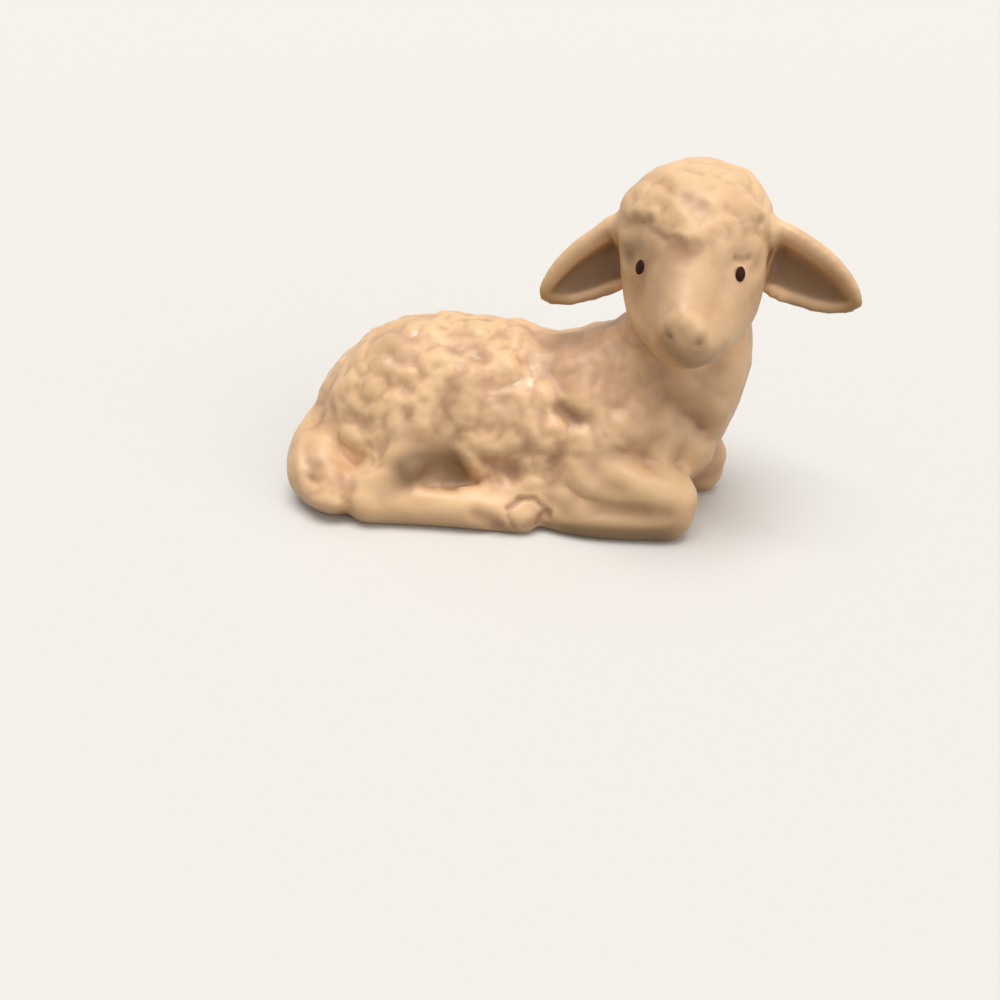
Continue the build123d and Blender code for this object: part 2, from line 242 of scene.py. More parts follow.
# %% Name each point's piece
cad_corners, cad_faces, cad_owner = [], [], []
for number, name in enumerate(clay_names):
    mesh = cad_nodes[name].data
    first = len(cad_corners)
    cad_corners += [v.co / MM for v in mesh.vertices]
    for face in mesh.polygons:
        cad_faces.append([first + v for v in face.vertices])
        cad_owner.append(number)
cad_tree = BVHTree.FromPolygons(cad_corners, cad_faces)
cad_owner = np.array(cad_owner)
owner = cad_owner[[cad_tree.find_nearest(p)[2] for p in points]]


def belongs(*names):
    """1 where a point belongs to one of the named pieces, and 0 elsewhere."""
    return np.isin(owner, [clay_names.index(name) for name in names]).astype(float)


ears = belongs("right_ear", "left_ear")
legs = belongs("right_foreleg", "left_foreleg", "right_hind_leg", "left_hind_leg")
tail = belongs("tail")
head = belongs("head_casting")
body = belongs("body_casting")
print("points on ears, legs and tail:", int(ears.sum()), int(legs.sum()), int(tail.sum()))

# %% Inside and outside of the castings
CORE_SHARE = 0.35
HOLLOW_BLUR = 6
rough_normals = skin_normals()
head_low, head_high = (np.array(corner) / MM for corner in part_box("head_casting"))
body_low, body_high = (np.array(corner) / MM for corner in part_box("body_casting"))
head_middle = (head_low + head_high) / 2
body_middle = np.stack([points[:, 0], np.zeros(count), np.full(count, body_high[2] * CORE_SHARE)], 1)
middle = np.where(head[:, None] > 0, head_middle, body_middle)
looks_in = ((points - middle) * rough_normals).sum(1) < 0
hollow = spread(looks_in * belongs("body_casting", "head_casting"), HOLLOW_BLUR) > 0.5
outside = 1 - hollow.astype(float)
print("points on the outside:", int(outside.sum()), "and on the inside:", int(hollow.sum()))

# %% [markdown]
# ## Smooth the facets and the joints
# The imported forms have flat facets, and the pieces meet in sharp corners. Slip and a wet brush take both
# away. A strong smoothing everywhere would shrink the ears, so the whole skin gets a light one, each
# joint as much as it shows, and the ears a little stock first, with rounds that give back what they take.

# %% Where pieces join, and where the lamb rests on the table
JOINT_SHARE = 0.05
resting = points[:, 2] < VOXEL
afloat = 1 - np.clip(spread(resting.astype(float), 2) * 2, 0, 1)


def joint_between(one, other, rounds):
    """1 along the joint of two regions, fading over a few rounds of blur."""
    both = np.minimum(spread(one, 3), spread(other, 3)) > JOINT_SHARE
    return np.clip(spread(both.astype(float), rounds) * 3, 0, 1)


print("points on the table:", int(resting.sum()))

# %% Smooth
FACET_ROUNDS = 24
EAR_STOCK = 0.32
EAR_SWELL = 0.52
EAR_JOINT_ROUNDS = 70
JOINT_ROUNDS = 16
relax(outside * afloat * (1 - spread(ears, 2)), FACET_ROUNDS)
points += rough_normals * (EAR_STOCK * ears)[:, None]
relax(spread(ears, 3), rounds=10)
relax(spread(ears, 3), rounds=60, swell=EAR_SWELL)
relax(joint_between(ears, head, 12) * outside, EAR_JOINT_ROUNDS)
relax(joint_between(legs, body, 4) * outside * afloat, JOINT_ROUNDS)
relax(joint_between(head, body, 4) * outside, JOINT_ROUNDS)
relax(joint_between(tail, body, 6) * outside * afloat, JOINT_ROUNDS)
points[:, 2] = np.maximum(points[:, 2], 0)
normals = skin_normals()
skin_tree = BVHTree.FromPolygons(points.tolist(), [list(f.vertices) for f in skin.polygons])
say_moved("smoothing")

# %% [markdown]
# ## Brushes
# A stroke is a short list of pixels. Each one is sent through the camera onto the skin, and the points
# near the line between them are raised or pressed in. In sculpt mode it would be drawn by eye. Here a
# wrong stroke can be moved by a pixel. Strokes on the flank are also made on the far side, mirrored,
# because the modeller worked both flanks alike.

# %% From pixels to points
SAME_SIDE = 0.1
NO_LENGTH = 1e-9


def on_skin(pixels):
    """Where pixels of the picture land on the skin."""
    found = []
    for x, y in pixels:
        place = skin_tree.ray_cast(lens_point, pixel_way(x, y))[0]
        if place is None:
            print("a pixel misses the skin:", (x, y))
        else:
            found.append(np.array(place))
    return np.array(found)


def far_side(path):
    """The same path on the other flank."""
    return np.array([np.array(skin_tree.find_nearest(Vector((x, -y, z)))[0]) for x, y, z in path])


def near_path(path, radius):
    """The points within a radius of a path, and how far they are from it as a share of the radius."""
    low, high = path.min(0) - radius, path.max(0) + radius
    rows = np.nonzero(((points > low) & (points < high)).all(1))[0]
    best = np.full(len(rows), np.inf)
    for start, end in zip(path, path[1:] if len(path) > 1 else path):
        span = end - start
        along = np.clip((points[rows] - start) @ span / max(span @ span, NO_LENGTH), 0, 1)
        best = np.minimum(best, np.linalg.norm(points[rows] - start - along[:, None] * span, axis=1))
    heading = normals[[int(np.argmin(((points - p) ** 2).sum(1))) for p in path]].mean(0)
    keep = (best < radius) & (normals[rows] @ heading > SAME_SIDE)
    return rows[keep], best[keep] / radius


def under(pixels, radius, mirrored=False):
    """What near_path finds along a stroke, and then along its mirror image on the far flank."""
    path = on_skin(pixels)
    for line in [path, far_side(path)] if mirrored else [path]:
        yield near_path(line, radius)


# %% The brushes
def brush(pixels, radius, height, mirrored=False):
    """Raises the skin along a stroke, or presses it in where the height is negative."""
    for rows, share in under(pixels, radius, mirrored):
        points[rows] += normals[rows] * (height * (1 - share ** 2) ** 2)[:, None]


def brush_each(strokes, radius, height, mirrored=False):
    """Takes one brush along several strokes."""
    for pixels in strokes:
        brush(pixels, radius, height, mirrored)


def dab(pixels, radius, height, mirrored=False):
    """Sets one brush down at each of several pixels: a lump, or a dent where the height is negative."""
    for pixel in pixels:
        brush([pixel], radius, height, mirrored)


def soften(strokes, radius, rounds, mirrored=False):
    """Smooths the skin along several strokes."""
    for pixels in strokes:
        for rows, share in under(pixels, radius, mirrored):
            weight = np.zeros(count)
            weight[rows] = (1 - share ** 2) ** 0.5
            relax(weight, rounds)


# %% [markdown]
# ## The fleece
# Wool on such a lamb is a crowd of soft curls, each a few millimetres across, pressed up with a blunt
# tool. A noise texture alone gives bumps without a plan, and they look like orange peel. So the fleece
# starts with a crowd of separate curls, laid each its own way and no nearer than a fixed spacing, and
# noise only varies it. The curls that the picture shows are then set one by one.

# %% Where wool grows
WOOL_ROUNDS = 30
HAUNCH_HEIGHT = 8.0
TAIL_WOOL = 0.35
NECK_START, NECK_END = 10.0, 26.0
NECK_BARENESS = 0.8
BELLY_FADE = 4.0
upper_leg = legs * (points[:, 2] > HAUNCH_HEIGHT)
wool = spread(np.clip(body + upper_leg + TAIL_WOOL * tail, 0, 1) * outside * afloat, WOOL_ROUNDS)
neck_share = np.clip((points[:, 0] - NECK_START) / (NECK_END - NECK_START), 0, 1)
neck_share = neck_share ** 2 * (3 - 2 * neck_share)
wool *= (1 - NECK_BARENESS * neck_share) * np.clip(points[:, 2] / BELLY_FADE, 0, 1) * outside
print("share of the skin under wool:", round(float(wool.mean()), 2))

# %% One curl
CURL_FACING = 0.2
CURL_ALONG, CURL_ACROSS = 0.8, 1.5
CURL_CROWN = 1.5
point_finder = KDTree(count)
for i, p in enumerate(points):
    point_finder.insert(p, i)
point_finder.balance()


def raise_curl(rise, i, lie, size, height):
    """Raises one curl about a point, longer along its lie than across it."""
    lie = np.cross(normals[i], lie)
    lie /= np.linalg.norm(lie)
    found = np.array([row for _, row, _ in point_finder.find_range(points[i], size)])
    offset = points[found] - points[i]
    along = offset @ lie
    across = np.maximum((offset ** 2).sum(1) - along ** 2, 0)
    share = np.clip((along ** 2 * CURL_ALONG + across * CURL_ACROSS) / size ** 2, 0, 1)
    facing = normals[found] @ normals[i] > CURL_FACING
    rise[found] = np.maximum(rise[found], height * (1 - share ** CURL_CROWN) ** 2 * facing)


# %% A crowd of curls, all drawn by lot before the skin is looked at, so that every run gives the same one
CURL_SEED = 11
CURL_TRIES = 20000
CURL_SPACING = 3.3
CURL_SIZES = (2.4, 4.0)
CURL_HEIGHTS = (0.15, 0.5)
WOOLLY = 0.5
AROUND = [(dx, dy, dz) for dx in (-1, 0, 1) for dy in (-1, 0, 1) for dz in (-1, 0, 1)]
lots = np.random.default_rng(CURL_SEED)
tries = lots.uniform(body_low, body_high, (CURL_TRIES, 3))
lies = lots.normal(size=(CURL_TRIES, 3))
luck = lots.uniform(size=(CURL_TRIES, 2))


def between(low_high, share):
    """A value part of the way from the first to the second of a pair."""
    low, high = low_high
    return low + (high - low) * share


def curls(weight):
    """How high the skin rises over a crowd of curls, where the weight is high enough for wool."""
    rise = np.zeros(count)
    taken = {}
    for place, lie, (size_share, height_share) in zip(tries, lies, luck):
        i = point_finder.find(place)[1]
        x, y, z = (points[i] // CURL_SPACING).astype(int)
        near = [q for dx, dy, dz in AROUND for q in taken.get((x + dx, y + dy, z + dz), ())]
        crowded = any(((points[i] - points[q]) ** 2).sum() < CURL_SPACING ** 2 for q in near)
        if weight[i] < WOOLLY or crowded:
            continue
        taken.setdefault((x, y, z), []).append(i)
        raise_curl(rise, i, lie, between(CURL_SIZES, size_share), between(CURL_HEIGHTS, height_share))
    print("curls:", sum(len(cell) for cell in taken.values()))
    return rise


# %% Ripples and billows, from a set seed, because noise_vector otherwise takes one from the clock
NOISE_SEED = 1796027099
BILLOW_PUSH_STEP, BILLOW_PUSH = 0.7, 0.45
BILLOW_GAIN, BILLOW_ROUNDNESS = 2.2, 0.7
noise.seed_set(NOISE_SEED)


def ripple(step, start):
    """Noise over the skin, from -1 to 1, with waves of one size in mm."""
    shift = Vector((start, 0, 0))
    return np.array([noise.noise(Vector(p) / step + shift) for p in points])


def billow(step, start):
    """Rounded lumps with narrow valleys, from 0 to about 1, pushed about so that they don't line up."""
    shift = Vector((start, start, 0))
    found = np.empty(count)
    for i, p in enumerate(points):
        place = Vector(p) / step + shift
        place += noise.noise_vector(place * BILLOW_PUSH_STEP) * BILLOW_PUSH
        found[i] = abs(noise.noise(place))
    return np.clip(found * BILLOW_GAIN, 0, 1) ** BILLOW_ROUNDNESS


# %% Raise the wool and ripple the bare skin, heights in mm
WOOL_LUMPS, WOOL_WAVES, WOOL_CRIMP = 0.28, 0.35, 0.1
WOOL_SUNK = 0.42
SKIN_WAVES, SKIN_RIPPLES = 0.28, 0.14
crowd = curls(wool)
wool_rise = crowd + WOOL_LUMPS * billow(step=3.8, start=3) + WOOL_WAVES * ripple(step=6.0, start=5)
wool_rise = spread(wool_rise, 2)
points += normals * (wool * (wool_rise + WOOL_CRIMP * billow(step=1.9, start=8) - WOOL_SUNK))[:, None]
bare_body = spread(body, 4) * outside * afloat * np.clip(1 - wool, 0, 1)
skin_rise = SKIN_WAVES * ripple(step=4.5, start=21) + SKIN_RIPPLES * ripple(step=2.2, start=27)
points += normals * (bare_body * skin_rise)[:, None]
say_moved("the crowd of curls")

# %% [markdown]
# ## What the picture shows of the wool
# Each curl below is the pixel of its middle, and each valley is a line of pixels. A displacement map
# could hold them, but a list of places can be corrected. The same strokes go on the far flank, where
# the noise makes them look different.

# %% Curls and lumps of the flank
BACK_CURLS_PX = [
    (410, 332), (430, 326), (455, 324), (477, 327), (497, 328), (520, 333), (372, 352), (392, 342),
    (420, 347), (440, 338), (440, 355), (387, 365), (427, 360), (360, 365), (490, 350), (505, 357),
]
FLANK_CURLS_PX = [
    (350, 380), (367, 386), (335, 395), (355, 400), (372, 396), (390, 397), (415, 392), (432, 403),
    (340, 411), (362, 413), (380, 411), (400, 408), (432, 378), (470, 373), (465, 388), (485, 395),
    (495, 375), (512, 370), (500, 390), (519, 399), (475, 417), (495, 416), (512, 420), (530, 430),
    (542, 445), (477, 440), (492, 453), (512, 446), (470, 463), (342, 432), (557, 428), (550, 451),
]
PROUD_CURLS_PX = [(405, 376), (472, 402), (465, 447), (420, 425), (405, 352), (452, 365), (528, 415)]
BIG_LUMPS_PX = [
    (392, 438), (360, 450), (580, 362), (587, 398), (575, 440), (606, 440), (632, 437), (577, 488),
]
dab(BACK_CURLS_PX + FLANK_CURLS_PX, radius=2.3, height=0.3, mirrored=True)
dab(PROUD_CURLS_PX, radius=2.9, height=0.6, mirrored=True)
dab(BIG_LUMPS_PX, radius=5.2, height=0.9, mirrored=True)
say_moved("curls and lumps of the flank")

# %% Valleys between them
VALLEYS_PX = [
    [(455, 372), (450, 390), (442, 407), (440, 424), (432, 440), (420, 458)],
    [(562, 410), (575, 421), (590, 423)],
    [(562, 425), (566, 440), (557, 460), (552, 480), (550, 498)],
    [(345, 458), (365, 467), (380, 461), (383, 448)],
    [(505, 398), (525, 410), (545, 417)],
    [(455, 350), (470, 345), (481, 356)],
    [(487, 462), (505, 466), (515, 473)],
    [(552, 342), (550, 360), (552, 376), (560, 395)],
    [(592, 472), (605, 485), (618, 490)],
    [(387, 383), (410, 386), (420, 382)],
    [(345, 420), (362, 425), (385, 423), (403, 418)],
    [(450, 422), (453, 430), (456, 437)],
]
SOFT_VALLEYS_PX = [[(647, 410), (651, 430), (645, 450), (650, 465)], [(672, 436), (677, 458)]]
brush_each(VALLEYS_PX, radius=2.4, height=-0.5, mirrored=True)
brush_each(SOFT_VALLEYS_PX, radius=3.0, height=-0.22, mirrored=True)
say_moved("valleys of the flank")

# %% The pocket before the thigh, the dent behind the shoulder and the ringlet at the elbow
SMOOTH_HOLLOWS_PX = [
    [(412, 452), (425, 462), (445, 468)],
    [(340, 448), (350, 462)],
    [(600, 480), (640, 482)],
]
POCKET_PX = [(437, 470), (445, 460), (450, 474)]
SHOULDER_DENT_PX = [(560, 408), (568, 416), (580, 421)]
RINGLET_PX, RINGLET_RADIUS_PX = (530, 475), 9
RINGLET_STEPS, RINGLET_FIRST, RINGLET_LAST = 12, 2, 8
soften(SMOOTH_HOLLOWS_PX, radius=4.5, rounds=14, mirrored=True)
brush(POCKET_PX, radius=4.2, height=-1.1, mirrored=True)
brush(SHOULDER_DENT_PX, radius=1.8, height=-0.6, mirrored=True)
ringlet = []
for step in range(RINGLET_FIRST, RINGLET_LAST + 1):
    turn = 2 * math.pi * step / RINGLET_STEPS
    x, y = RINGLET_PX
    ringlet.append((x + RINGLET_RADIUS_PX * math.cos(turn), y + RINGLET_RADIUS_PX * math.sin(turn)))
brush(ringlet, radius=1.6, height=0.22, mirrored=True)
say_moved("pocket, dent and ringlet")

# %% [markdown]
# ## Neck and chest
# The lamb looks over its right side, so its throat is twisted into long soft folds. Cloth simulation
# could fold a loose skin, but folds in clay are few and broad. So each is one wide stroke, and a hollow
# under the jaw parts the neck from the shoulder.

# %% Folds of the neck
NECK_HOLLOW_PX = [(652, 378), (668, 398), (688, 415), (703, 430)]
NECK_FOLDS_PX = [
    [(718, 385), (722, 405), (716, 425)],
    [(735, 370), (733, 395), (722, 420)],
    [(660, 455), (672, 468), (690, 474)],
    [(700, 445), (706, 462)],
    [(640, 365), (648, 392), (652, 420)],
    [(672, 385), (690, 398), (712, 412)],
    [(664, 415), (668, 440), (662, 462)],
    [(688, 432), (692, 450), (690, 466)],
]
brush(NECK_HOLLOW_PX, radius=4.5, height=-0.7)
brush_each(NECK_FOLDS_PX, radius=3.0, height=0.4)
say_moved("folds of the neck")

# %% [markdown]
# ## The face
# The face is bare and soft. Its forms are low: a broad bridge, shallow sockets and a nose pad. A mirrored
# base mesh would be the usual start, but a face in clay is never quite even. So the large forms are
# pressed first, each where the picture shows it, and the small ones of the nose after.

# %% The skull fuller to its right, the cheek slimmer
SKULL_SIDE_PX = [(622, 226), (628, 210), (634, 198)]
SKULL_FAR_PX = [(700, 162), (730, 168), (752, 182)]
SLIM_CHEEK_PX = [(628, 300), (637, 325), (648, 346)]
brush(SKULL_SIDE_PX, radius=5.5, height=0.9)
brush(SKULL_FAR_PX, radius=5.0, height=-0.45)
brush(SLIM_CHEEK_PX, radius=7.0, height=-1.7)
say_moved("skull and cheek")

# %% Brow, sockets and bridge
BRIDGE_PX = [(692, 262), (687, 285), (682, 308)]
SOCKETS_PX = [[(625, 254), (634, 248), (645, 254)], [(738, 256), (750, 254), (758, 262)]]
BROWS_PX = [[(626, 240), (640, 236), (652, 246)], [(726, 250), (742, 247), (757, 250)]]
INNER_SOCKETS_PX = [[(655, 272), (659, 288)], [(722, 272), (716, 290)]]
CHEEKS_PX = [[(640, 305), (650, 330)], [(735, 310), (725, 335)]]
brush(BRIDGE_PX, radius=6.5, height=0.35)
brush_each(SOCKETS_PX, radius=2.8, height=-0.45)
brush_each(BROWS_PX, radius=2.4, height=0.2)
brush_each(INNER_SOCKETS_PX, radius=3.6, height=-0.15)
brush_each(CHEEKS_PX, radius=4.5, height=0.35)
say_moved("brow, sockets and bridge")

# %% Nose, mouth and chin
NOSE_TIP_PX = [(672, 323), (682, 319), (696, 325)]
NOSE_PAD_PX = [(664, 334), (682, 338), (702, 339)]
NOSE_LUMPS_PX = [(672, 318), (681, 312), (690, 320), (700, 331), (664, 330)]
NOSE_CREASES_PX = [
    [(668, 330), (676, 326)],
    [(690, 331), (699, 334)],
    [(681, 333), (684, 341)],
    [(662, 328), (664, 339), (669, 347)],
]
CHIN_PX = [(672, 356), (687, 361), (702, 359)]
NOSE_SIDES_PX = [[(654, 318), (652, 336)], [(716, 326), (716, 344)]]
brush(NOSE_TIP_PX, radius=1.8, height=0.3)
brush(NOSE_PAD_PX, radius=3.0, height=0.25)
dab(NOSE_LUMPS_PX, radius=1.4, height=0.18)
brush_each(NOSE_CREASES_PX, radius=0.9, height=-0.15)
brush(CHIN_PX, radius=3.5, height=0.3)
brush_each(NOSE_SIDES_PX, radius=2.6, height=0.2)
say_moved("nose and chin")

# %% [markdown]
# ## The cap of wool
# Crimped wool covers the skull and ends on the forehead in a ragged step. A separate shell laid over the
# head would show its rim. Here the skin rises behind a line across the forehead and sinks a little
# before it, and small waves on the line make it ragged.

# %% Where the cap ends
HEAD_TURN = math.radians(94.5)
HEAD_DROP = math.radians(33)
SKULL_MIDDLE = np.array((24.2, -3.0, 41.4))
CAP_PEAK, CAP_SLANT, CAP_OFF_CENTRE = 8.6, 0.72, 0.5
CAP_WAVES, CAP_TUFTS = 0.9, 0.5
CAP_BLUR = 0.3
CAP_FOOT = 2.5
FAR = 30
head_forward = np.array((
    math.cos(HEAD_DROP) * math.cos(HEAD_TURN),
    -math.cos(HEAD_DROP) * math.sin(HEAD_TURN),
    -math.sin(HEAD_DROP),
))
head_across = np.array((math.sin(HEAD_TURN), math.cos(HEAD_TURN), 0))
ahead = (points - SKULL_MIDDLE) @ head_forward
aside = (points - SKULL_MIDDLE) @ head_across
cap_edge = CAP_PEAK - CAP_SLANT * np.abs(aside + CAP_OFF_CENTRE)
cap_edge = cap_edge + CAP_WAVES * ripple(step=1.8, start=9) + CAP_TUFTS * ripple(step=0.9, start=4)
on_head = spread(head, 6) * outside
off_the_ears = 1 - joint_between(ears, head, 10)
cap = 1 / (1 + np.exp(np.clip((ahead - cap_edge) / CAP_BLUR, -FAR, FAR)))
cap *= on_head * off_the_ears
below_cap = (1 - cap) * np.exp(-np.clip(ahead - cap_edge, 0, FAR) / CAP_FOOT) * on_head
below_cap *= off_the_ears
print("points under the cap:", int(cap.sum()))

# %% Raise the cap, with its crimp
CAP_STEP = 0.5
CAP_SUNK = 0.15
CAP_LUMPS, CAP_CRIMP, CAP_SWELLS = 0.3, 0.05, 0.35
crimp = spread(CAP_LUMPS * billow(step=3.0, start=11), 4)
crimp = crimp + CAP_CRIMP * billow(step=1.2, start=13) + CAP_SWELLS * ripple(step=4.0, start=2)
points += normals * (cap * (crimp - CAP_SUNK) - CAP_STEP * below_cap)[:, None]
say_moved("the cap")

# %% Curls and dents that stand out on it
CAP_CURLS_PX = [
    (640, 210), (652, 214), (664, 226), (676, 238), (690, 242), (704, 239), (720, 234), (737, 228),
    (752, 222), (757, 210), (747, 205), (672, 180), (645, 190), (735, 180), (715, 205), (680, 215),
]
CAP_DENTS_PX = [[(686, 200), (693, 207), (703, 206)], [(655, 200), (662, 208)], [(728, 214), (738, 216)]]
dab(CAP_CURLS_PX, radius=1.8, height=0.22)
brush_each(CAP_DENTS_PX, radius=1.6, height=-0.22)
say_moved("curls of the cap")

# %% [markdown]
# ## Legs, tail and ear rims
# The legs are bare skin over bone. A groove parts the folded forearm from the cannon under it, the
# fetlock is pinched, and knee and hock stand out. The tail is a lock of wool that curls over itself.
# These could be separate meshes, but they run into each other without an edge, so they are strokes too.

# %% Legs
FORELEG_GROOVE_PX = [(567, 511), (600, 513), (640, 515), (664, 513)]
FETLOCK_DENT_PX = [(476, 515), (488, 520), (496, 526)]
KNEE_PX = [(690, 500), (688, 515)]
HOCK_PX = [(362, 505), (366, 515)]
METATARSUS_RIDGE_PX = [(420, 495), (455, 491), (482, 488)]
brush(FORELEG_GROOVE_PX, radius=2.2, height=-0.4)
brush(FETLOCK_DENT_PX, radius=2.2, height=-0.5, mirrored=True)
brush(KNEE_PX, radius=3.0, height=0.4)
brush(HOCK_PX, radius=3.0, height=0.3, mirrored=True)
brush(METATARSUS_RIDGE_PX, radius=1.8, height=0.3, mirrored=True)
say_moved("legs")

# %% The tail's swirl and the ear rims
TAIL_SWIRL_PX = [(306, 484), (312, 468), (326, 460), (340, 468), (344, 483), (336, 495)]
TAIL_LOCKS_PX = [
    [(302, 440), (300, 462), (308, 485)],
    [(318, 448), (316, 466)],
    [(312, 500), (330, 505), (343, 500)],
]
TAIL_GROOVES_PX = [[(310, 445), (308, 465), (314, 480)], [(346, 470), (350, 485), (346, 500)]]
TAIL_CREASE_PX = [(326, 444), (334, 458), (342, 470)]
EAR_RIMS_PX = [
    [(551, 304), (574, 305), (592, 300), (610, 293)],
    [(853, 312), (838, 314), (815, 310), (793, 302)],
]
brush(TAIL_SWIRL_PX, radius=1.6, height=-0.45)
brush_each(TAIL_LOCKS_PX, radius=2.4, height=0.4)
brush_each(TAIL_GROOVES_PX, radius=1.7, height=-0.6)
brush(TAIL_CREASE_PX, radius=4.2, height=1.0)
soften([TAIL_CREASE_PX], radius=4.0, rounds=24)
soften(EAR_RIMS_PX, radius=1.6, rounds=24)
say_moved("tail and ear rims")

# %% [markdown]
# ## Slip and last cuts
# A coat of slip runs into the deepest pits of the wool. Smoothing would take the curls away with the
# pits, so only what lies deeper than a set depth under a blurred copy of the skin is filled. Nostrils,
# hooves and the lines of the tail are cut after that, so that nothing smooths them.

# %% Slip fills the deepest pits of the wool
PIT_DEPTH = 0.05
PIT_ROUNDS = 3
SLIP_COAT = 0.7


def sunk(rounds):
    """How far each point lies under a blurred copy of the skin, in mm."""
    return ((spread(points, rounds) - points) * normals).sum(1)


for _ in range(PIT_ROUNDS):
    normals = skin_normals()
    depth = sunk(rounds=8)
    points += normals * (spread(np.clip(depth - PIT_DEPTH, 0, 1), 2) * wool)[:, None]
print("deepest pit:", round(float(depth.max()), 2), "mm")
relax(outside * SLIP_COAT, rounds=2)
say_moved("slip")

# %% Nostrils, hooves, the rim of one eye and the lines of the tail
NOSTRILS_PX = [(667, 338), (698, 344)]
HOOF_CUTS_PX = [
    [(519, 500), (510, 507), (508, 517), (513, 528)],
    [(549, 512), (541, 516), (537, 524)],
    [(507, 508), (519, 499), (534, 499), (544, 508), (548, 517)],
]
RIM_CREASE_PX = [(752, 258), (745, 260), (738, 258)]
TAIL_CUTS_PX = [
    [(309, 461), (318, 467), (330, 470), (341, 478)],
    [(302, 476), (316, 481), (333, 482)],
    [(308, 493), (322, 492), (338, 487)],
]
dab(NOSTRILS_PX, radius=0.9, height=-0.45)
brush_each(HOOF_CUTS_PX, radius=0.8, height=-0.32, mirrored=True)
brush(RIM_CREASE_PX, radius=0.9, height=-0.3)
brush_each(TAIL_CUTS_PX, radius=1.3, height=-0.16)
points[:, 2] = np.maximum(points[:, 2], 0)
say_moved("last cuts")

# %% [markdown]
# ## What the wash finds
# The colour on such a figurine is brushed on thin and wiped off while wet. It stays where the surface is
# hollow and goes from where it stands proud. The shader's pointiness gives something like it, but only
# to the width of one face. Here a blurred copy of the skin lies above the valleys and below the tops.

# %% Hollow and proud
WASH_LEVEL = 0.22
NARROW_FULL, BROAD_FULL = 0.13, 1.0
normals = skin_normals()
narrow = sunk(rounds=6)
broad = sunk(rounds=40)
wash = np.clip(WASH_LEVEL + narrow / NARROW_FULL + broad / BROAD_FULL, 0, 1)
print("wash, mean and spread:", round(float(wash.mean()), 2), round(float(wash.std()), 2))

# %% [markdown]
# ## Painted patches
# Patches painted on the clay: mauve in the folds, partly the clay's own tint and partly painted shade;
# olive brown, painted shade under the jaw and the legs and in hollows; ochre on the tips of the ears.
# Texture paint could hold them in an image. Here each is a stroke like those of the modelling, kept as a
# value on the points. It gives pixels, a radius in mm and a strength.

# %% Painted light: less wash where the knee, the rump, the hock and the left cheek are lit
PAINTED_LIGHT_PX = [
    ([(692, 492), (690, 520)], 5.0, -0.35), ([(318, 395), (330, 370)], 7.0, -0.3),
    ([(360, 500), (366, 515)], 4.5, -0.3), ([(634, 300), (642, 325)], 4.0, -0.3),
]


def paint(values, patches):
    """Adds each patch to a painted value."""
    for pixels, radius, amount in patches:
        for rows, share in under(pixels, radius):
            values[rows] += amount * (1 - share ** 2) ** 2


# Painted light: the wash is taken away at these places so that they look lit
paint(wash, PAINTED_LIGHT_PX)
wash = np.clip(wash, 0, 1)
print("wiped places:", len(PAINTED_LIGHT_PX))

# %% Mauve: partly the clay's own tint, partly painted shade in folds, grooves, dents and on the tail
MAUVE_AND_SHADE_PX = [
    ([(470, 345), (480, 352)], 3.0, 0.6), ([(590, 345), (560, 342)], 5.0, 0.5),
    ([(640, 188), (648, 180)], 3.0, 0.4), ([(678, 249), (690, 252)], 2.4, 0.9),
    ([(722, 275), (718, 262)], 3.0, 0.4), ([(712, 472), (716, 458)], 3.0, 0.6),
    ([(497, 528), (512, 530)], 1.6, 0.9), ([(545, 510), (548, 524)], 1.4, 0.9),
    ([(508, 508), (520, 499), (534, 499)], 0.9, 0.7), ([(560, 350), (585, 358), (600, 372)], 6.0, 0.6),
    ([(575, 385), (600, 392)], 4.0, 0.5), ([(686, 285), (684, 300)], 4.0, 0.4),
    ([(385, 345), (405, 352)], 3.0, 0.4), ([(455, 385), (450, 400)], 2.5, 0.7),
    ([(505, 400), (520, 408)], 2.5, 0.6), ([(655, 180), (668, 186)], 2.2, 0.4),
    ([(690, 198), (700, 206)], 2.2, 0.6), ([(322, 470), (336, 476)], 2.0, 0.5),
    ([(300, 440), (315, 470)], 5.0, 0.35), ([(590, 445), (625, 432)], 7.0, 0.4),
    ([(800, 234), (830, 260), (850, 285)], 2.0, 0.5),
    ([(312, 468), (326, 460), (340, 468), (344, 483)], 1.4, 0.5),
    ([(652, 248), (668, 258)], 4.0, 0.7), ([(664, 285), (660, 310)], 3.5, 0.3),
    ([(708, 300), (712, 320)], 3.5, 0.3), ([(735, 195), (750, 215)], 3.0, 0.3),
    ([(332, 448), (342, 464)], 2.5, 0.3), ([(347, 482), (349, 505)], 1.8, 0.7),
    ([(530, 523), (541, 518)], 1.8, 0.9), ([(667, 336), (668, 340)], 1.6, 0.7),
    ([(698, 342), (699, 347)], 1.8, 0.9), ([(480, 518), (494, 524)], 1.8, 0.7),
    ([(330, 380), (322, 400)], 4.0, 0.5),
]
mauve_and_shade = np.zeros(count)
paint(mauve_and_shade, MAUVE_AND_SHADE_PX)
mauve_and_shade = np.clip(mauve_and_shade, 0, 1)
print("mauve patches:", len(MAUVE_AND_SHADE_PX))

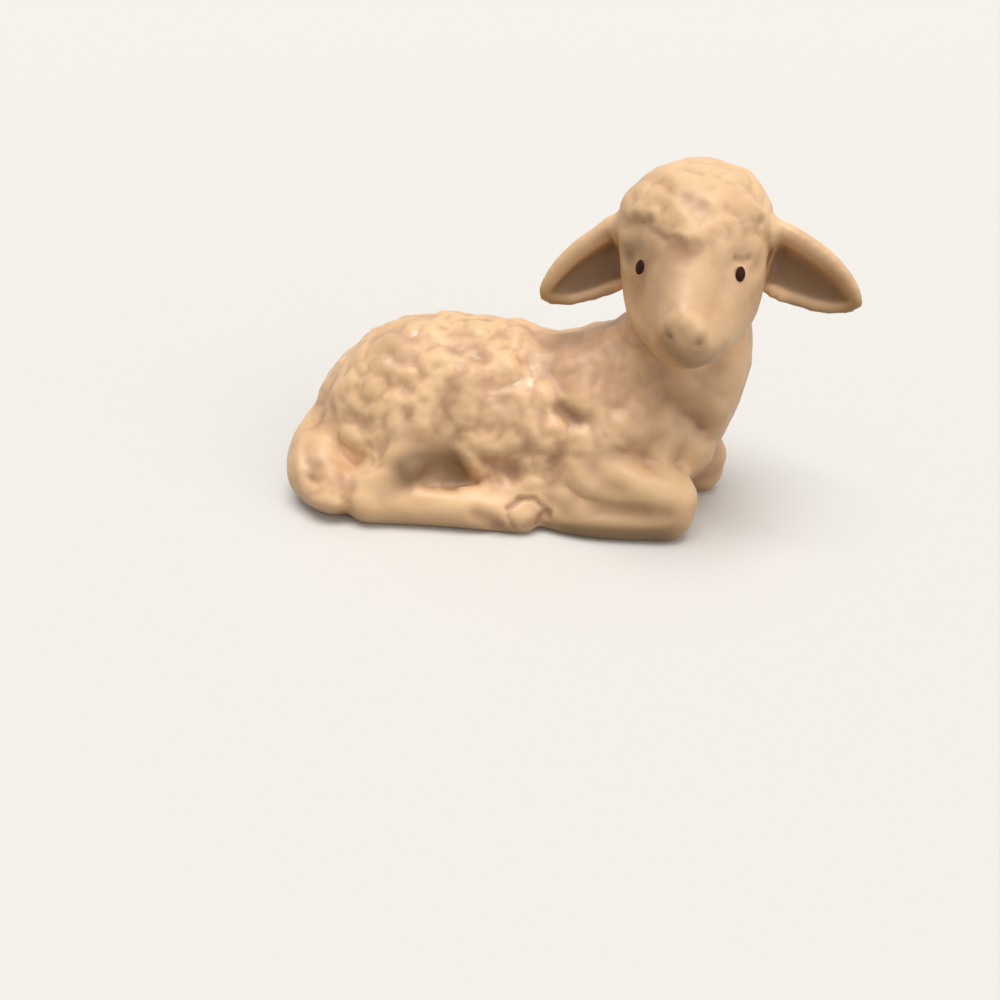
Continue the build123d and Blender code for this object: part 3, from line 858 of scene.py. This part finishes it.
# %% Painted shade in olive brown, with the shaded cups of the ears
# Each row is painted shade in olive brown: neck, under the foreleg, under the jaw, dents, pocket,
# forehead, lower ear rims, groove, sockets
PAINTED_SHADE_PX = [
    ([(655, 378), (675, 402), (700, 425)], 5.0, 0.3), ([(572, 529), (620, 533), (660, 535)], 5.5, 1.0),
    ([(700, 385), (728, 412)], 6.0, 0.25), ([(660, 350), (687, 362), (720, 352)], 3.0, 0.5),
    ([(562, 411), (576, 419)], 1.6, 0.5), ([(450, 474), (460, 478)], 2.6, 1.2),
    ([(640, 224), (630, 242)], 4.0, 0.35),
    ([(551, 304), (574, 305), (592, 300), (610, 293)], 1.5, 0.55),
    ([(853, 312), (838, 314), (815, 310), (793, 302)], 1.5, 0.55),
    ([(600, 500), (640, 503)], 3.0, 0.35), ([(634, 252), (626, 256)], 2.5, 0.6),
    ([(752, 258), (745, 255)], 2.4, 0.4), ([(412, 468), (430, 466), (446, 470)], 4.6, 1.6),
]
CUP_HOLLOW = 0.06
CUP_SHADE = 0.9
LESS_SHADE_ON_TOP = 0.5
painted_shade = np.zeros(count)
paint(painted_shade, PAINTED_SHADE_PX)
# Painted shade: less of it on what looks up, and the cups of the ears that face the camera painted dark
# where their rims shade them
front = np.clip(normals @ np.array(back) * 2, 0, 1)
ear_cup_shade = np.clip(spread(ears, 2) * broad / CUP_HOLLOW, 0, 1) * front
looks_up = np.clip(normals[:, 2], 0, 1)
painted_shade = np.clip(painted_shade * (1 - LESS_SHADE_ON_TOP * looks_up) + CUP_SHADE * spread(ear_cup_shade, 2), 0, 1)
print("points in the cups of the ears:", int(ear_cup_shade.sum()))

# %% Ochre ear tips, and drops of glaze
OCHRE_PX = [([(546, 296), (556, 302)], 3.0, 0.8), ([(856, 306), (848, 312)], 3.0, 0.8)]
DROPS_PX = [
    [(416, 333), (417, 338)], [(452, 347), (456, 353), (460, 358)], [(474, 354), (477, 357)],
    [(529, 366), (532, 375), (530, 385)], [(515, 379), (517, 382)], [(580, 353), (582, 356)],
    [(536, 410), (539, 413)],
]
DROP_RADIUS, DROP_AMOUNT = 0.8, 1.2
POLISH, PROUD_FULL = 0.05, 0.12
ochre = np.zeros(count)
paint(ochre, OCHRE_PX)
ochre = np.clip(ochre, 0, 1)
glaze = np.zeros(count)
paint(glaze, [(drop, DROP_RADIUS, DROP_AMOUNT) for drop in DROPS_PX])
glaze = np.clip(glaze + POLISH * np.clip(wool * -narrow / PROUD_FULL, 0, 1) * looks_up, 0, 1)
print("drops of glaze:", len(DROPS_PX))

# %% [markdown]
# ## Cut the skin back into its pieces
# The skin is one mesh now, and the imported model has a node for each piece. Knife cuts or booleans would
# do it, but both leave new edges along the seam. Here each square goes to the piece that it stands for,
# and the openings are closed where the slip was. The normals of the whole skin are kept on each piece,
# so the seams don't show.

# %% Which square goes to which piece
votes = spread(np.stack([belongs(name) for name in clay_names], 1), 3)
piece_of_point = votes.argmax(1)
skin.vertices.foreach_set("co", (points * MM).astype(np.float32).ravel())
skin.update()
normals = skin_normals()
corner_owner = piece_of_point[np.array([list(f.vertices) for f in skin.polygons])]
face_owner = np.array([np.bincount(row).argmax() for row in corner_owner])
print({name: int((face_owner == i).sum()) for i, name in enumerate(clay_names)})

# %% Write the painted values on the skin
PAINTED = {"wash": wash, "mauve_and_shade": mauve_and_shade, "painted_shade": painted_shade, "ochre": ochre, "glaze": glaze}
for title, values in PAINTED.items():
    skin.attributes.new(title, "FLOAT", "POINT").data.foreach_set("value", values.astype(np.float32))
skin_normal = skin.attributes.new("skin_normal", "FLOAT_VECTOR", "POINT")
skin_normal.data.foreach_set("vector", normals.astype(np.float32).ravel())
print("mean of each painted value:", {title: round(float(v.mean()), 3) for title, v in PAINTED.items()})

# %% Close a piece where it met its neighbours
RIM_DEPTH = 0.8
NECK_SEAT = {"body_casting": "head_casting", "head_casting": "body_casting"}


def rim_loops(rims):
    """The boundary edges, sorted into closed loops."""
    left = set(rims)
    loops = []
    while left:
        front_edges = [left.pop()]
        loop = list(front_edges)
        while front_edges:
            for vert in front_edges.pop().verts:
                for edge in vert.link_edges:
                    if edge in left:
                        left.remove(edge)
                        front_edges.append(edge)
                        loop.append(edge)
        loops.append(loop)
    return loops


def close_rims(bm, loops, meets_neck):
    """Turns each open rim inward and fills it. The neck's outer and inner rims get a wall between them."""
    outward = bm.verts.layers.float_vector["skin_normal"]
    neck = []
    for loop in loops:
        is_neck = meets_neck(loop)
        turned_in = bmesh.ops.extrude_edge_only(bm, edges=loop)["geom"]
        for vert in turned_in:
            if isinstance(vert, bmesh.types.BMVert):
                vert.co -= vert[outward] * RIM_DEPTH * MM
        if is_neck:
            neck.append([e for e in turned_in if isinstance(e, bmesh.types.BMEdge)])
    if len(neck) == 2:
        bmesh.ops.bridge_loops(bm, edges=neck[0] + neck[1])
    bmesh.ops.holes_fill(bm, edges=[e for e in bm.edges if e.is_boundary], sides=0)
    bmesh.ops.triangulate(bm, faces=[f for f in bm.faces if len(f.verts) > 4])
    bmesh.ops.recalc_face_normals(bm, faces=bm.faces)
    if bm.calc_volume(signed=True) < 0:
        bmesh.ops.reverse_faces(bm, faces=bm.faces)


# %% Cut out each piece
def keep_skin_normals(mesh):
    """Gives a piece the normals that the whole skin had."""
    kept = np.empty(len(mesh.vertices) * 3, np.float32)
    mesh.attributes["skin_normal"].data.foreach_get("vector", kept)
    mesh.attributes.remove(mesh.attributes["skin_normal"])
    mesh.polygons.foreach_set("use_smooth", [True] * len(mesh.polygons))
    mesh.normals_split_custom_set_from_vertices(kept.reshape(-1, 3).tolist())


def cut_out(name):
    """The piece of the skin that stands for a node."""
    number = clay_names.index(name)
    seat = clay_names.index(NECK_SEAT[name]) if name in NECK_SEAT else -1
    bm = bmesh.new()
    bm.from_mesh(skin)
    bm.faces.ensure_lookup_table()
    neighbour = {}
    for edge in bm.edges:
        sides = [face_owner[f.index] for f in edge.link_faces]
        if number in sides and sides[0] != sides[1]:
            neighbour[edge] = sides[0] if sides[1] == number else sides[1]
    bmesh.ops.delete(bm, geom=[f for f in bm.faces if face_owner[f.index] != number], context="FACES")
    loops = rim_loops([e for e in bm.edges if e.is_boundary])
    close_rims(bm, loops, lambda loop: all(neighbour[e] == seat for e in loop))
    open_edges = sum(len(e.link_faces) != 2 for e in bm.edges)
    mesh = bpy.data.meshes.new(name + "_bisque")
    bm.to_mesh(mesh)
    bm.free()
    keep_skin_normals(mesh)
    print(name, "faces", len(mesh.polygons), "rims", len(loops), "open edges", open_edges)
    return make_object(name + "_bisque", mesh)


pieces = {name: cut_out(name) for name in clay_names}

# %% [markdown]
# ## Bisque
# Porcelain fired without a glaze is a satin cream with a fine grain. An image of clay could be wrapped
# round it, but that shows its seams. Noise on Object coordinates runs through it as the grain does. Every
# piece has the same clay under the same wash and painted shade, so all of it is one node group, and each
# material sets how much wash, mottling and grain there is.

# %% Helpers for nodes
def srgb(red, green, blue):
    """A colour as a picture gives it, from 0 to 255, in the linear values that a shader takes."""
    def linear(v):
        v /= 255
        return v / 12.92 if v <= 0.04045 else ((v + 0.055) / 1.055) ** 2.4
    return (linear(red), linear(green), linear(blue), 1)


def set_or_link(tree, socket, value):
    """Gives a socket a number or colour, or links it to another socket."""
    if isinstance(value, (int, float, tuple)):
        socket.default_value = value
    else:
        tree.links.new(value, socket)


def mixed(tree, factor, low, high):
    """A colour mix: low where the factor is 0 and high where it is 1."""
    node = tree.nodes.new("ShaderNodeMix")
    node.data_type = "RGBA"
    node.clamp_factor = True
    for socket, value in (("Factor", factor), ("A", low), ("B", high)):
        set_or_link(tree, node.inputs[socket], value)
    return node.outputs["Result"]


def calculated(tree, operation, first, second, clamp=False):
    """A sum, product or the like of two values, each a socket or a number."""
    node = tree.nodes.new("ShaderNodeMath")
    node.operation = operation
    node.use_clamp = clamp
    for place, value in enumerate((first, second)):
        set_or_link(tree, node.inputs[place], value)
    return node.outputs["Value"]


def object_noise(tree, scale, detail=2.0, roughness=0.5):
    """Noise through the object, from 0 to 1. The scale is in waves per metre."""
    where = tree.nodes.new("ShaderNodeTexCoord")
    node = tree.nodes.new("ShaderNodeTexNoise")
    for socket, value in (("Scale", scale), ("Detail", detail), ("Roughness", roughness)):
        node.inputs[socket].default_value = value
    tree.links.new(where.outputs["Object"], node.inputs["Vector"])
    return node.outputs["Fac"]


def new_material(name):
    """A material, its node tree and its shader."""
    material = bpy.data.materials.new(name)
    material.use_nodes = True
    return material, material.node_tree, material.node_tree.nodes["Principled BSDF"]


# %% The sockets of the group for the wash and the painted shade
CLAY_CREAM = srgb(232, 187, 141)
CLAY_PALE = srgb(242, 202, 155)
TIP_OCHRE = srgb(176, 138, 84)
# Mauve for the wash, the mottle and the mauve patches, which are partly painted shade
WASH_MAUVE_AND_SHADE = srgb(190, 146, 112)
WASH_DEEP = srgb(140, 102, 70)
# Olive brown for the painted shade
SHADE_BROWN = srgb(122, 92, 58)
INPUTS = {"Wash": 1, "Mottle": 0.3, "Grain": 1}
OUTPUTS = {"Color": "Color", "Roughness": "Float", "Height": "Float", "Glaze": "Float"}
group = bpy.data.node_groups.new("washed_and_shaded_bisque", "ShaderNodeTree")
for title, value in INPUTS.items():
    socket = group.interface.new_socket(title, in_out="INPUT", socket_type="NodeSocketFloat")
    socket.default_value = value
for title, kind in OUTPUTS.items():
    group.interface.new_socket(title, in_out="OUTPUT", socket_type="NodeSocket" + kind)
entry = group.nodes.new("NodeGroupInput")
leave = group.nodes.new("NodeGroupOutput")


def times(first, second, clamp=False):
    """The product of two values in the group."""
    return calculated(group, "MULTIPLY", first, second, clamp)


def over(value, level, gain):
    """How far a value is over a level, times a gain, kept from 0 to 1."""
    return times(calculated(group, "SUBTRACT", value, level), gain, clamp=True)


def painted(title):
    """The value that was stored for each point under a name."""
    node = group.nodes.new("ShaderNodeAttribute")
    node.attribute_name = title
    return node.outputs["Fac"]


print("group inputs:", list(INPUTS), "and outputs:", list(OUTPUTS))

# %% The layers of colour, from the clay up
PAINT_STRENGTH, OCHRE_STRENGTH = 0.8, 0.9
ROUGH_SPREAD, ROUGH_LEVEL = 0.25, 0.32
cloud = object_noise(group, scale=130, detail=3)
grain = object_noise(group, scale=2600, detail=4, roughness=0.7)
blotch = object_noise(group, scale=420, detail=4, roughness=0.6)
drift = over(object_noise(group, scale=95, detail=4, roughness=0.62), level=0.5, gain=5.0)
washed = times(painted("wash"), entry.outputs["Wash"])
LAYERS = [
    (times(drift, entry.outputs["Mottle"]), WASH_MAUVE_AND_SHADE),
    (times(washed, calculated(group, "ADD", blotch, 0.5), clamp=True), WASH_MAUVE_AND_SHADE),
    (over(washed, level=0.7, gain=1.6), WASH_DEEP),
    # Mauve patches: partly the clay's own tint, partly painted shade
    (times(painted("mauve_and_shade"), PAINT_STRENGTH), WASH_MAUVE_AND_SHADE),
    # Painted shade in olive brown
    (times(painted("painted_shade"), PAINT_STRENGTH), SHADE_BROWN),
    (times(painted("ochre"), OCHRE_STRENGTH), TIP_OCHRE),
    (over(grain, level=0.5, gain=0.25), WASH_DEEP),
]
color = mixed(group, cloud, CLAY_CREAM, CLAY_PALE)
for cover, layer_color in LAYERS:
    color = mixed(group, cover, color, layer_color)
rough = calculated(group, "ADD", times(blotch, ROUGH_SPREAD), ROUGH_LEVEL)
group.links.new(color, leave.inputs["Color"])
group.links.new(rough, leave.inputs["Roughness"])
group.links.new(painted("glaze"), leave.inputs["Glaze"])
group.links.new(times(grain, entry.outputs["Grain"]), leave.inputs["Height"])
print("layers over the clay:", len(LAYERS))

# %% Three finishes from the one group
GRAIN_STRENGTH, GRAIN_DEPTH = 0.25, 0.05
DROP_ROUGHNESS = 0.12


def bisque(name, **amounts):
    """A washed bisque with painted shade, with its own amounts of wash, mottling and grain."""
    material, tree, shader = new_material(name)
    clay = tree.nodes.new("ShaderNodeGroup")
    clay.node_tree = group
    for title, amount in amounts.items():
        clay.inputs[title].default_value = amount
    bump = tree.nodes.new("ShaderNodeBump")
    bump.inputs["Strength"].default_value = GRAIN_STRENGTH
    bump.inputs["Distance"].default_value = GRAIN_DEPTH * MM
    shader.inputs["Coat Roughness"].default_value = DROP_ROUGHNESS
    tree.links.new(clay.outputs["Color"], shader.inputs["Base Color"])
    tree.links.new(clay.outputs["Roughness"], shader.inputs["Roughness"])
    tree.links.new(clay.outputs["Glaze"], shader.inputs["Coat Weight"])
    tree.links.new(clay.outputs["Height"], bump.inputs["Height"])
    tree.links.new(bump.outputs["Normal"], shader.inputs["Normal"])
    return material


SLOTS = {
    "bisque_fleece": bisque("bisque_fleece", Wash=1.0, Mottle=0.6, Grain=1.0),
    "bisque_face": bisque("bisque_face", Wash=0.95, Mottle=0.4, Grain=0.8),
    "bisque_skin": bisque("bisque_skin", Wash=0.9, Mottle=0.3, Grain=0.9),
}
SLOT_OF = {row["node"]: row["material_slot"] for row in frame["record"]["subparts"]}
for name, piece in pieces.items():
    piece.data.materials.append(SLOTS[SLOT_OF[name]])
    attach(piece, "root")
    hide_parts(name)
    print(name, "has the finish", SLOT_OF[name])

# %% [markdown]
# ## Eyes
# Each eye is a drop of black enamel, set on the skin with a brush and fired. Brown shows where it is
# thin. A painted spot would be flat, so each is a sphere pressed to a lens and sunk in the skin by half,
# which hides its rim.

# %% Black enamel
ENAMEL_THIN, ENAMEL_THICK = srgb(74, 32, 20), srgb(22, 6, 3)
ENAMEL_GLOSS = 0.12
ENAMEL_ROUGH_SPREAD, ENAMEL_ROUGH_LEVEL = 0.3, 0.25
enamel, enamel_tree, enamel_shader = new_material("black_enamel")
enamel_shader.inputs["Specular IOR Level"].default_value = ENAMEL_GLOSS
pooled = object_noise(enamel_tree, scale=1800)
enamel_color = mixed(enamel_tree, pooled, ENAMEL_THIN, ENAMEL_THICK)
enamel_rough = calculated(enamel_tree, "MULTIPLY", pooled, ENAMEL_ROUGH_SPREAD)
enamel_rough = calculated(enamel_tree, "ADD", enamel_rough, ENAMEL_ROUGH_LEVEL)
enamel_tree.links.new(enamel_color, enamel_shader.inputs["Base Color"])
enamel_tree.links.new(enamel_rough, enamel_shader.inputs["Roughness"])
print("enamel:", enamel.name)

# %% The drops
EYE_RADII = (0.75, 1.0, 0.32)


def enamel_drop(name):
    """A drop of enamel on the skin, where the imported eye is."""
    low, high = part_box(name)
    place, out = skin_tree.find_nearest((low + high) / 2 / MM)[:2]
    seat = Matrix.Translation(place * MM) @ out.to_track_quat("Z", "Y").to_matrix().to_4x4()
    bm = bmesh.new()
    bmesh.ops.create_uvsphere(bm, u_segments=24, v_segments=16, radius=1)
    lens_shape = seat @ Matrix.Scale(MM, 4) @ Matrix.Diagonal((*EYE_RADII, 1))
    bmesh.ops.transform(bm, matrix=lens_shape, verts=bm.verts)
    for face in bm.faces:
        face.smooth = True
    mesh = bpy.data.meshes.new(name + "_enamel")
    bm.to_mesh(mesh)
    bm.free()
    mesh.materials.append(enamel)
    print(name, "at", [round(v, 1) for v in place], "mm")
    return make_object(name + "_enamel", mesh)


for name in EYES:
    eye = enamel_drop(name)
    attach(eye, "root")
    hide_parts(name)

# %% [markdown]
# ## Floor and light
# The lamb lies on a plain pale floor in a bright room. Such a floor throws light up under the chin, more
# than the picture shows. So floor and room are pale to rays that show them to the camera, and darker to
# the light that reaches the lamb. Area lamps would fall off across it, and two wide suns don't.

# %% Floor
FLOOR_SIZE = 3
FLOOR_SEEN = srgb(226, 223, 218)
FLOOR_FELT = srgb(110, 106, 100)
scene.view_settings.view_transform = "Standard"
floor_bm = bmesh.new()
bmesh.ops.create_grid(floor_bm, x_segments=1, y_segments=1, size=FLOOR_SIZE)
floor_mesh = bpy.data.meshes.new("floor")
floor_bm.to_mesh(floor_mesh)
floor_bm.free()
floor = make_object("floor", floor_mesh)


def seen_directly(tree):
    """1 on rays that show the background to the camera, straight or by way of gloss or glass."""
    rays = tree.nodes.new("ShaderNodeLightPath")
    shown = calculated(tree, "MAXIMUM", rays.outputs["Is Camera Ray"], rays.outputs["Is Glossy Ray"])
    return calculated(tree, "MAXIMUM", shown, rays.outputs["Is Transmission Ray"])


floor_finish, floor_tree, floor_shader = new_material("pale_floor")
floor_shader.inputs["Roughness"].default_value = 0.8
floor_color = mixed(floor_tree, seen_directly(floor_tree), FLOOR_FELT, FLOOR_SEEN)
floor_tree.links.new(floor_color, floor_shader.inputs["Base Color"])
floor_mesh.materials.append(floor_finish)
print("floor:", 2 * FLOOR_SIZE, "m wide")

# %% Room
ROOM_COLOR = (1, 0.98, 0.95, 1)
ROOM_LIGHT, ROOM_SEEN = 0.4, 0.9
world = bpy.data.worlds.new("room")
world.use_nodes = True
scene.world = world
room_tree = world.node_tree
background = room_tree.nodes["Background"]
background.inputs["Color"].default_value = ROOM_COLOR
room_extra = calculated(room_tree, "MULTIPLY", seen_directly(room_tree), ROOM_SEEN - ROOM_LIGHT)
room_tree.links.new(calculated(room_tree, "ADD", room_extra, ROOM_LIGHT), background.inputs["Strength"])
print("room light:", ROOM_LIGHT)


# %% Lights
def wide_light(name, toward, degrees_wide, strength):
    """A broad, even light: where it comes from, as a direction, how wide it is and how strong."""
    data = bpy.data.lights.new(name, "SUN")
    data.angle = math.radians(degrees_wide)
    data.energy = strength
    thing = bpy.data.objects.new(name, data)
    thing.rotation_euler = (-Vector(toward)).to_track_quat("-Z", "Y").to_euler()
    scene.collection.objects.link(thing)
    print(name, "light:", strength)


wide_light("ceiling", toward=(-0.02, -0.12, 1), degrees_wide=40, strength=2.2)
wide_light("window", toward=(1, -0.8, 0.35), degrees_wide=60, strength=0.95)
